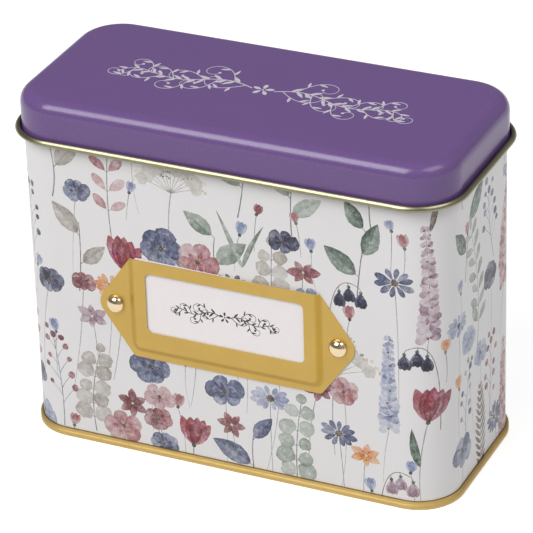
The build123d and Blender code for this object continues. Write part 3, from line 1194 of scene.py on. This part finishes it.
def foil_ink(name, colour, metallic, gloss):
    """Ink with a slightly uneven lay."""
    material, tree, shader = new_material(name)
    lay = mottle(tree, place_of(tree), 1500.0, 2.0)
    tree.links.new(mix_colour(tree, lay, shade(colour, 0.9), colour), shader.inputs["Base Color"])
    tree.links.new(spread(tree, lay, 0.0, 1.0, gloss, gloss * 1.3), shader.inputs["Roughness"])
    shader.inputs["Metallic"].default_value = metallic
    return material


# Ornaments of the lid and the label


def vine(start, reach, heading, line, steps=26):
    """A tapering line that follows a heading, given in degrees at each share of its length."""
    points = [start]
    for i in range(steps):
        points.append(points[-1] + unit(heading((i + 0.5) / steps)) * reach / steps)
    return points, [s.outline for s in stroke(points, line, line * 0.5, None, 1.0, 0.0, 2)]


def waving(t):
    """Heading of the vine: three half waves, then a curl at its end."""
    return 24 * math.cos(math.tau * 1.5 * t) - 250 * t**9


def curling(heading, side):
    """Heading of a tendril that leaves the vine and curls up tighter and tighter."""
    return lambda t: heading + side * (62 - 330 * t**2.2)


def heading_at(line, i):
    """Direction of a line at one of its points, in degrees."""
    return math.degrees(cmath.phase(line[i + 1] - line[i]))


def slim_leaf(rng, at, way, reach):
    """Outline of a slim leaf, bent a little to one side."""
    bend = rng.uniform(-0.12, 0.12)
    return petal(rng, at, way, reach, reach * 0.3, None, 1.0, 0.45, 0.85, 0.0, bend).outline


def garland(half, line, leaf_reach, tendril_reach, shoots):
    """Outlines of a mirrored spray: a waving vine, curled tendrils, slim leaves and a small flower."""
    rng = random.Random(5)
    steps = 60
    main, outlines = vine(complex(half * 0.07, 0), half * 1.02, waving, line, steps)
    for k in range(shoots):
        share = 0.06 + 0.8 * k / shoots
        i = int(share * steps)
        side = 1 if k % 2 else -1
        reach = tendril_reach * (1 - 0.45 * share)
        tendril, lines = vine(main[i], reach, curling(heading_at(main, i), side), line * 0.8)
        outlines += lines
        outlines.append(dot(rng, tendril[-1], line * 1.3, None, 1.0, 10).outline)
        for spot, lean in ((5, 48), (9, -40)):
            way = unit(heading_at(tendril, spot) + side * lean)
            outlines.append(slim_leaf(rng, tendril[spot], way, leaf_reach * 0.8))
        for spot, lean in ((i + 3, -38), (i + 5, 44)):
            way = unit(heading_at(main, spot) + side * lean)
            outlines.append(slim_leaf(rng, main[spot], way, leaf_reach * (1.1 - 0.4 * share)))
    outlines += [[complex(-p.real, p.imag) for p in outline] for outline in outlines]
    for i in range(5):
        way = unit(90 + 72 * i)
        leaflet = petal(rng, way * line * 1.4, way, leaf_reach * 0.75, leaf_reach * 0.36, None, 1.0)
        outlines.append(leaflet.outline)
    outlines.append(dot(rng, 0j, line * 0.9, None, 1.0, 10).outline)
    return outlines


# The lid's sheet


def bent_line(start, heading, moves):
    """Places and headings along a line of bends (radius, turn) and straight runs (length, 0)."""
    line = [(start, heading)]
    for reach, turn in moves:
        place, heading = line[-1]
        if not turn:
            line.append((place + unit(heading) * reach, heading))
            continue
        side = math.copysign(90, turn)
        centre = place + unit(heading + side) * reach
        steps = math.ceil(abs(turn) / BEND_STEP)
        for i in range(1, steps + 1):
            now = heading + turn * i / steps
            line.append((centre - unit(now + side) * reach, now))
    return line


def lid_line(sizes):
    """Middle of the lid's sheet, from its flat top down the skirt and round the open bead.

    The real part is the distance outside the wall and the imaginary part the height.
    """
    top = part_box("lid")[1]
    half = sizes.sheet / 2
    edge = sizes.lid_edge - half
    flat = sizes.lid_edge / 4
    skirt = sizes.lid_out - half
    fall = top.z - half - edge - sizes.bead_low - half - sizes.bead_turn
    reach = top.x - sizes.wall_width / 2 - half
    run = reach - skirt - sizes.bead_turn - sizes.bead_bend
    moves = (
        (flat, 0),
        (edge, -90),
        (fall, 0),
        (sizes.bead_turn, 90),
        (run, 0),
        (sizes.bead_bend, 115),
        (sizes.bead_slope, 27),
        (sizes.bead_return, 120),
    )
    return bent_line(complex(skirt - edge - flat, top.z - half), 0, moves)


def lid_finish(line, j):
    """Finish of one step round the section of the lid's sheet, first down its outside, then back."""
    foot = max(i for i, (_, heading) in enumerate(line) if abs(heading + 90) < 0.01)
    if j < len(line) - 1:
        return PAINT
    return INSIDE if 2 * len(line) - 2 - j < foot else BEAD


def lid_mesh(sizes):
    """The lid's sheet drawn round the tin: painted outside, bare inside and on the bead's back."""
    line = lid_line(sizes)
    half = sizes.sheet / 2
    loop = [(p + unit(h + 90) * half, h + 90) for p, h in line]
    loop += [(p + unit(h - 90) * half, h - 90) for p, h in reversed(line)]
    radius = sizes.wall_corner
    flat = complex(sizes.wall_width / 2 - radius, sizes.wall_depth / 2 - radius)
    around = []
    for quarter, (x, y) in enumerate(((1, 1), (-1, 1), (-1, -1), (1, -1))):
        centre = complex(x * flat.real, y * flat.imag)
        for i in range(CORNER_STEPS + 1):
            around.append((centre, unit(90 * (quarter + i / CORNER_STEPS))))
    vertices, normals = [], []
    for centre, way in around:
        for p, lean in loop:
            at = centre + way * (radius + p.real)
            vertices.append(Vector((at.real, at.imag, p.imag)))
            tipped = unit(lean)
            out = way * tipped.real
            normals.append(Vector((out.real, out.imag, tipped.imag)))
    size, turns = len(loop), len(around)
    bands = [lid_finish(line, j) for j in range(size - 1)]
    faces = []
    for k in range(turns):
        here, there = k * size, (k + 1) % turns * size
        faces += [(here + j, here + j + 1, there + j + 1, there + j) for j in range(size - 1)]
    faces.append(tuple(k * size for k in range(turns)))
    faces.append(tuple((k + 1) * size - 1 for k in reversed(range(turns))))
    mesh = bpy.data.meshes.new("lid_shell")
    mesh.from_pydata(vertices, [], faces)
    mesh.polygons.foreach_set("material_index", bands * turns + [PAINT, INSIDE])
    mesh.shade_smooth()
    mesh.normals_split_custom_set_from_vertices(normals)
    return mesh


# The label holder and its rivets


def holder_outline(sizes, low, high):
    """Outline of the holder: a flat middle with an ear drawn out at each side."""
    half = sizes.holder_width / 2 / MM
    ear = sizes.ear_radius / MM
    corner = sizes.holder_corner / MM
    tip = complex(sizes.rivet_spacing / 2 / MM, (low + high) / 2)

    def leave(point, side):
        """Angle on the ear's end where the line from a point touches it."""
        away = point - tip
        return math.degrees(cmath.phase(away)) - side * math.degrees(math.acos(ear / abs(away)))

    first = leave(complex(half, low), -1)
    last = leave(complex(half, high), 1)
    right_side = arc(tip, ear, first, last - first, 16) + [complex(half, high)]
    bottom = complex(half, low)
    slant = (right_side[0] - bottom) / abs(right_side[0] - bottom)
    turn = cmath.phase(slant)
    reach = corner * math.tan(turn / 2)
    centre = bottom - reach + 1j * corner
    right_side = arc(centre, corner, -90, math.degrees(turn), 6) + right_side
    return right_side + [complex(-p.real, p.imag) for p in reversed(right_side)]


def pocket_away(sizes, low, p):
    """How far a point lies outside the pressed middle, which is open at the top."""
    corner = sizes.pocket_corner / MM
    side = abs(p.real) - sizes.pocket_width / 2 / MM + corner
    down = low + sizes.pocket_foot / MM - p.imag + corner
    return abs(complex(max(side, 0), max(down, 0))) + min(max(side, down), 0) - corner


def pocket_rise(sizes, low, p):
    """How far the holder stands out at a point, over a soft step."""
    slope = sizes.pocket_slope / MM
    share = min(max(0.5 - pocket_away(sizes, low, p) / slope, 0), 1)
    return sizes.pocket_depth / MM * share * share * (3 - 2 * share)


def pocket_lean(sizes, low, p):
    """The way the holder's face looks at a point."""
    fine = 0.02
    across = pocket_rise(sizes, low, p + fine) - pocket_rise(sizes, low, p - fine)
    upward = pocket_rise(sizes, low, p + fine * 1j) - pocket_rise(sizes, low, p - fine * 1j)
    return Vector((-across, -2 * fine, -upward)).normalized()


def pocket_contour(sizes, low, high, away):
    """A line at one distance outside the pressed middle, from the top down, across and up again."""
    corner = sizes.pocket_corner / MM + away
    half = sizes.pocket_width / 2 / MM + away
    foot = low + sizes.pocket_foot / MM - away
    right = arc(complex(half - corner, foot + corner), corner, -90, 90, 10)
    right += [complex(half, foot + corner + (high - foot - corner) * i / 8) for i in range(1, 9)]
    return [complex(-p.real, p.imag) for p in reversed(right)] + right


def holder_openings(sizes, low, high):
    """Outlines of the holder's window and of its two rivet holes."""
    half = sizes.window_width / 2 / MM
    corner = sizes.window_corner / MM
    window = rounded_box(-half, half, sizes.window_low / MM, sizes.window_high / MM, corner, 8)
    rivet = complex(sizes.rivet_spacing / 2 / MM, (low + high) / 2)
    hole = sizes.rivet_hole / MM
    holes = [arc(complex(side * rivet.real, rivet.imag), hole, 0, 360, 24)[:-1] for side in (-1, 1)]
    return [window, *holes]


def holder_mesh(sizes):
    """The pressed plate, cut along the contours of its step so that the step stays smooth, with its slope
    kept for painted shade.
    """
    box_low, box_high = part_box("label_holder")
    low, high = box_low.z / MM, box_high.z / MM
    wall = box_high.y / MM
    sheet = (box_high.y - box_low.y - sizes.pocket_depth) / MM
    slope = sizes.pocket_slope / MM
    steps = 12
    contours = [
        pocket_contour(sizes, low, high + 1, slope * (i / steps - 0.5)) for i in range(steps + 1)
    ]
    outlines = [holder_outline(sizes, low, high), *holder_openings(sizes, low, high)]
    points, triangles, _ = flat_sheet(outlines, contours, lambda source: len(source) == 1 and 0 in source)
    mesh = thick_mesh(
        "holder_plate",
        points,
        triangles,
        lambda p: Vector((p.real, wall - sheet - pocket_rise(sizes, low, p), p.imag)),
        lambda p: Vector((p.real, wall - pocket_rise(sizes, low, p), p.imag)),
    )
    leans = [pocket_lean(sizes, low, p) for p in points]
    slants = [math.hypot(lean.x, lean.z) for lean in leans]
    # Share of painted shade on the step, greater where it slopes more steeply
    step_shade = mesh.attributes.new("step_shade", "FLOAT", "POINT")
    step_shade.data.foreach_set("value", [(slant / max(slants)) ** 0.7 for slant in slants] * 2)
    mesh.shade_smooth()
    sides = leans + [-lean for lean in leans]
    normals = []
    for polygon in mesh.polygons:
        cut_edge = len(polygon.vertices) == 4
        polygon.material_index = 1 if cut_edge else 0
        normals += [polygon.normal.copy() if cut_edge else sides[v] for v in polygon.vertices]
    mesh.normals_split_custom_set(normals)
    return mesh


def rivet_rings(sizes):
    """Radius and place along Y of each ring of a rivet, from its head's tip to its tail."""
    plate_low, plate_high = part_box("label_holder")
    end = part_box("holder_rivets")[1].y
    face = plate_low.y + sizes.pocket_depth
    tail = plate_high.y + sizes.sheet
    radius, rise = sizes.rivet_head, sizes.rivet_rise
    shank = sizes.rivet_hole * 0.96
    rings = [
        (radius * math.sin(math.radians(a)), face - rise * math.cos(math.radians(a)))
        for a in (3, 10, 18, 26, 34, 42, 50, 58, 66, 74, 81, 86)
    ]
    rings += [(radius, face - rise * 0.03), (radius, face), (shank, face), (shank, tail)]
    return rings + [(shank * 1.6, tail), (shank * 1.6, (tail + end) / 2), (shank, end)]


def rivet_mesh(sizes):
    """Two domed rivets, each with its shank through the plate and its tail inside the wall."""
    plate_low, plate_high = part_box("label_holder")
    level = (plate_low.z + plate_high.z) / 2
    rings = rivet_rings(sizes)
    tip_place = plate_low.y + sizes.pocket_depth - sizes.rivet_rise
    sides = 40
    made = bmesh.new()
    for side in (-1, 1):
        middle = side * sizes.rivet_spacing / 2
        loops = []
        for radius, y in rings:
            spots = [cmath.rect(radius, math.tau * k / sides) for k in range(sides)]
            loops.append([made.verts.new((middle + p.real, y, level + p.imag)) for p in spots])
        tip = made.verts.new((middle, tip_place, level))
        end = made.verts.new((middle, rings[-1][1], level))
        for k in range(sides):
            after = (k + 1) % sides
            for one, other in zip(loops, loops[1:]):
                made.faces.new((one[k], one[after], other[after], other[k]))
            made.faces.new((tip, loops[0][after], loops[0][k]))
            made.faces.new((end, loops[-1][k], loops[-1][after]))
    bmesh.ops.recalc_face_normals(made, faces=made.faces)
    mesh = bpy.data.meshes.new("rivet_heads")
    made.to_mesh(mesh)
    made.free()
    return mesh


# The label, the dividers and the cards


def label_outline(sizes, low, high):
    """Outline of the label, whose top edge falls a little to the right."""
    left, right = low.x / MM, high.x / MM
    middle = (low.z + high.z) / 2 / MM
    outline = []
    for p in rounded_box(left, right, low.z / MM, high.z / MM, 0.8):
        fall = sizes.label_fall / MM * (p.real - left) / (right - left)
        outline.append(p - 1j * fall if p.imag > middle else p)
    return outline


def divider_outlines(sizes, low, high, number):
    """Outlines of a divider's board and of its tab, which stands at one of three places in turn."""
    shoulder = (high.z - sizes.tab_rise) / MM
    middle = ((number - 1) % 3 - 1) * sizes.tab_pitch / MM
    half = sizes.tab_width / 2 / MM
    board = rounded_box(low.x / MM, high.x / MM, low.z / MM, shoulder, 1.5)
    tab = rounded_box(middle - half, middle + half, shoulder - 6, high.z / MM, 2.4)
    return [board, tab]


def pack_mesh(name, low, high, rng):
    """A pack of single cards that stand a little unevenly."""
    step = (high.y - low.y) / CARDS_IN_PACK
    sides = ((0, 1, 3, 2), (4, 6, 7, 5), (0, 4, 5, 1), (2, 3, 7, 6), (0, 2, 6, 4), (1, 5, 7, 3))
    vertices, faces = [], []
    for i in range(CARDS_IN_PACK):
        inset = [rng.uniform(0.0, 0.0005) for _ in range(3)]
        across = (low.x + inset[0], high.x - inset[1])
        deep = (low.y + step * i, low.y + step * (i + 0.86))
        tall = (low.z, high.z - inset[2])
        faces += [tuple(len(vertices) + v for v in side) for side in sides]
        vertices += [Vector((x, y, z)) for x in across for y in deep for z in tall]
    mesh = bpy.data.meshes.new(name)
    mesh.from_pydata(vertices, [], faces)
    return mesh


# The pieces, one operator each


class TIN_OT_wall(bpy.types.Operator):
    """Print the wall and finish the sheet inside it"""

    bl_idname = "tin.wall"
    bl_label = "Printed wall"

    def execute(self, context):
        sizes, colours = context.scene.tin_sizes, context.scene.tin_colours
        mesh = print_mesh(sizes, context.scene.tin_stage.seed)
        add_piece("wall_print", mesh, printed_wall(colours), "tin")
        dress_node("body_wall", bare_metal("inside_tinplate", colours.inside, 0.38))
        return {"FINISHED"}


class TIN_OT_lid(bpy.types.Operator):
    """Make the painted lid and print its ornament"""

    bl_idname = "tin.lid"
    bl_label = "Painted lid"

    def execute(self, context):
        sizes, colours = context.scene.tin_sizes, context.scene.tin_colours
        shell = lid_mesh(sizes)
        piece = add_piece("lid_shell", shell, painted_lid(colours), "lid")
        # The bead's tinplate carries painted shade; the rest of the same sheet inside the lid keeps the
        # inside colour
        shell.materials.append(bare_metal("shaded_bead_tinplate", colours.tinplate, 0.32, 0.000001))
        shell.materials.append(bare_metal("lid_inside", colours.inside, 0.38))
        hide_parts("lid")
        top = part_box("lid")[1].z / MM
        ink = sizes.ink / MM
        spray = garland(half=51, line=0.42, leaf_reach=4.0, tendril_reach=26.0, shoots=9)
        points, triangles, _ = flat_sheet(spray)
        mesh = thick_mesh(
            "lid_garland",
            points,
            triangles,
            lambda p: Vector((p.real, p.imag, top + ink)),
            lambda p: Vector((p.real, p.imag, top - ink)),
        )
        silver = foil_ink("silver_ink", colours.silver_ink, 0.35, 0.4)
        add_piece("lid_garland", mesh, silver, "lid")
        return {"FINISHED"}


class TIN_OT_holder(bpy.types.Operator):
    """Make the pressed label holder and its rivets"""

    bl_idname = "tin.holder"
    bl_label = "Label holder"

    def execute(self, context):
        sizes, colours = context.scene.tin_sizes, context.scene.tin_colours
        mesh = holder_mesh(sizes)
        # The last number is how strongly painted shade darkens the pressed step
        lacquer = gold_lacquer("gold_lacquer", colours.gold, 0.7, 0.4, 0.6)
        piece = add_piece("holder_plate", mesh, lacquer, "tin")
        mesh.materials.append(gold_lacquer("cut_edge", colours.cut_edge, 0.4, 0.4))
        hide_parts("label_holder")
        brass = bare_metal("polished_brass", colours.brass, 0.13, 0.000001)
        heads = add_piece("rivet_heads", rivet_mesh(sizes), brass, "tin", 60)
        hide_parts("holder_rivets")
        return {"FINISHED"}


class TIN_OT_base(bpy.types.Operator):
    """Finish the gold base plate and its seam"""

    bl_idname = "tin.base"
    bl_label = "Base plate"

    def execute(self, context):
        dress_node("base_plate", rounded_seam(context.scene.tin_sizes, context.scene.tin_colours))
        return {"FINISHED"}


class TIN_OT_label(bpy.types.Operator):
    """Make the label card and the sprig drawn on it"""

    bl_idname = "tin.label"
    bl_label = "Label"

    def execute(self, context):
        sizes, colours = context.scene.tin_sizes, context.scene.tin_colours
        low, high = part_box("label_card")
        front, back = low.y / MM, high.y / MM
        mesh = board_mesh("label", [label_outline(sizes, low, high)], front, back)
        piece = add_piece("label", mesh, paper("label_paper", colours.label), "label")
        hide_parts("label_card")
        ink = sizes.ink / MM / 2
        middle = (sizes.window_low + sizes.window_high) / 2 / MM
        spray = garland(half=18.5, line=0.28, leaf_reach=2.0, tendril_reach=11.0, shoots=5)
        mesh = board_mesh("label_sprig", spray, front - ink, front + ink, middle)
        black = foil_ink("label_ink", colours.label_ink, 0.0, 0.55)
        add_piece("label_sprig", mesh, black, "label")
        return {"FINISHED"}


class TIN_OT_files(bpy.types.Operator):
    """Make the tabbed dividers and the packs of cards behind them"""

    bl_idname = "tin.files"
    bl_label = "Dividers and cards"

    def execute(self, context):
        sizes, colours = context.scene.tin_sizes, context.scene.tin_colours
        divider_card = paper("divider_card", colours.divider, 0.06)
        card_paper = paper("card_paper", colours.card, 0.04)
        rng = random.Random(3)
        for i in range(1, FILES + 1):
            name = f"tabbed_divider_{i}"
            low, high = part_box(f"divider_{i}")
            outlines = divider_outlines(sizes, low, high, i)
            mesh = board_mesh(name, outlines, low.y / MM, high.y / MM)
            piece = add_piece(name, mesh, divider_card, f"file_{i}")
            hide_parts(f"divider_{i}")
            name = f"card_pack_{i}"
            mesh = pack_mesh(name, *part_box(f"cards_{i}"), rng)
            piece = add_piece(name, mesh, card_paper, f"file_{i}")
            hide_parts(f"cards_{i}")
        return {"FINISHED"}


class TIN_OT_stage(bpy.types.Operator):
    """Set the floor, the light and the camera"""

    bl_idname = "tin.stage"
    bl_label = "Stage"

    def execute(self, context):
        self.floor(context)
        self.world(context)
        self.lamps(context)
        self.camera(context)
        context.scene.view_settings.view_transform = "Standard"
        return {"FINISHED"}

    def floor(self, context):
        """A wide matt floor, which the camera sees nearly white."""
        mesh = bpy.data.meshes.new("floor")
        mesh.from_pydata([(-4, -4, 0), (4, -4, 0), (4, 4, 0), (-4, 4, 0)], [], [(0, 1, 2, 3)])
        floor = bpy.data.objects.new("floor", mesh)
        context.scene.collection.objects.link(floor)
        material, tree, shader = new_material("pale_floor")
        shader.inputs["Base Color"].default_value = (0.5, 0.5, 0.5, 1.0)
        shader.inputs["Roughness"].default_value = 1.0
        shader.inputs["Specular IOR Level"].default_value = 0.0
        shader.inputs["Emission Color"].default_value = (1.0, 1.0, 1.0, 1.0)
        camera = add_node(tree, "ShaderNodeLightPath").outputs["Is Camera Ray"]
        shown = calc(tree, "MULTIPLY", seen_ray(tree), 0.56)
        shown = calc(tree, "MAXIMUM", shown, calc(tree, "MULTIPLY", camera, 0.7))
        tree.links.new(shown, shader.inputs["Emission Strength"])
        mesh.materials.append(material)

    def world(self, context):
        """A soft room: white to the camera, plain light on the tin, and darker in its gloss."""
        world = bpy.data.worlds.new("studio")
        context.scene.world = world
        world.use_nodes = True
        tree = world.node_tree
        background = tree.nodes["Background"]
        background.inputs["Color"].default_value = (1.0, 1.0, 1.0, 1.0)
        # Gloss shows a dark room, lighter to the right, above the white floor
        way = add_node(tree, "ShaderNodeTexCoord").outputs["Generated"]
        across, _, height = add_node(tree, "ShaderNodeSeparateXYZ", {0: way}).outputs[:3]
        rays = add_node(tree, "ShaderNodeLightPath").outputs
        shown = spread(tree, across, 0.2, 0.5, 0.2, 0.35)
        lit = spread(tree, height, 0.0, 0.8, 0.46, 0.36)
        glossy = calc(tree, "MAXIMUM", rays["Is Glossy Ray"], rays["Is Transmission Ray"])
        inputs = {0: glossy, 2: lit, 3: shown}
        strength = add_node(tree, "ShaderNodeMix", inputs, data_type="FLOAT").outputs[0]
        inputs = {0: rays["Is Camera Ray"], 2: strength, 3: 1.0}
        strength = add_node(tree, "ShaderNodeMix", inputs, data_type="FLOAT").outputs[0]
        tree.links.new(strength, background.inputs["Strength"])

    def lamps(self, context):
        """Soft boxes that face the tin: name, place, width, height, watts, whether gloss shows it."""
        for name, place, width, height, power, glossy in (
            ("key", (-0.5, -1.08, 1.35), 1.0, 0.98, 20.5, True),
            ("top", (0.86, -0.2, 1.28), 0.9, 0.62, 5.6, True),
            ("fill", (1.5, -0.45, 0.6), 0.9, 0.9, 1.2, False),
        ):
            light = bpy.data.lights.new(name, "AREA")
            light.shape = "RECTANGLE"
            light.size = width
            light.size_y = height
            light.energy = power
            lamp = bpy.data.objects.new(name, light)
            lamp.location = place
            aim = Vector((0.0, 0.0, 0.06)) - lamp.location
            lamp.rotation_euler = aim.to_track_quat("-Z", "Y").to_euler()
            lamp.visible_glossy = glossy
            context.scene.collection.objects.link(lamp)

    def camera(self, context):
        """The camera, placed by its own turn, height and roll."""
        stage = context.scene.tin_stage
        lens = bpy.data.cameras.new("camera")
        lens.lens = stage.lens
        lens.sensor_width = 36.0
        lens.clip_start = 0.05
        lens.clip_end = 20.0
        camera = bpy.data.objects.new("camera", lens)
        flat = math.cos(stage.elevation)
        back = Vector(
            (math.sin(stage.azimuth) * flat, -math.cos(stage.azimuth) * flat, math.sin(stage.elevation))
        )
        right = Vector((0, 0, 1)).cross(back).normalized()
        up = back.cross(right)
        turned = Matrix.Rotation(stage.roll, 3, back)
        right, up = turned @ right, turned @ up
        camera.matrix_world = Matrix(
            [[right[i], up[i], back[i], stage.place[i]] for i in range(3)] + [[0, 0, 0, 1]]
        )
        context.scene.collection.objects.link(camera)
        context.scene.camera = camera


STEPS = (TIN_OT_wall, TIN_OT_lid, TIN_OT_holder, TIN_OT_base, TIN_OT_label, TIN_OT_files, TIN_OT_stage)


class TIN_PT_panel(bpy.types.Panel):
    """Lists the pieces of the tin and their settings"""

    bl_idname = "TIN_PT_panel"
    bl_label = "Card Tin"
    bl_space_type = "VIEW_3D"
    bl_region_type = "UI"
    bl_category = "Card Tin"

    def draw(self, context):
        for step in STEPS:
            self.layout.operator(step.bl_idname)
        for group in (context.scene.tin_sizes, context.scene.tin_colours, context.scene.tin_stage):
            box = self.layout.box()
            for name in group.bl_rna.properties.keys():
                if name not in ("rna_type", "name"):
                    box.prop(group, name)


GROUPS = (("tin_sizes", TinSizes), ("tin_colours", TinColours), ("tin_stage", TinStage))


def register():
    """Adds the settings, the operators and the panel."""
    for name, group in GROUPS:
        bpy.utils.register_class(group)
        setattr(bpy.types.Scene, name, PointerProperty(type=group))
    for one in (*STEPS, TIN_PT_panel):
        bpy.utils.register_class(one)


def unregister():
    """Takes the panel, the operators and the settings away again."""
    for one in (*STEPS, TIN_PT_panel):
        bpy.utils.unregister_class(one)
    for name, group in GROUPS:
        delattr(bpy.types.Scene, name)
        bpy.utils.unregister_class(group)


def main():
    """Builds the stage and every piece."""
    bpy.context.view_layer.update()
    register()
    bpy.ops.tin.stage()
    bpy.ops.tin.wall()
    bpy.ops.tin.lid()
    bpy.ops.tin.holder()
    bpy.ops.tin.base()
    bpy.ops.tin.label()
    bpy.ops.tin.files()
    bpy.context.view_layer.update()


if __name__ == "__main__":
    main()
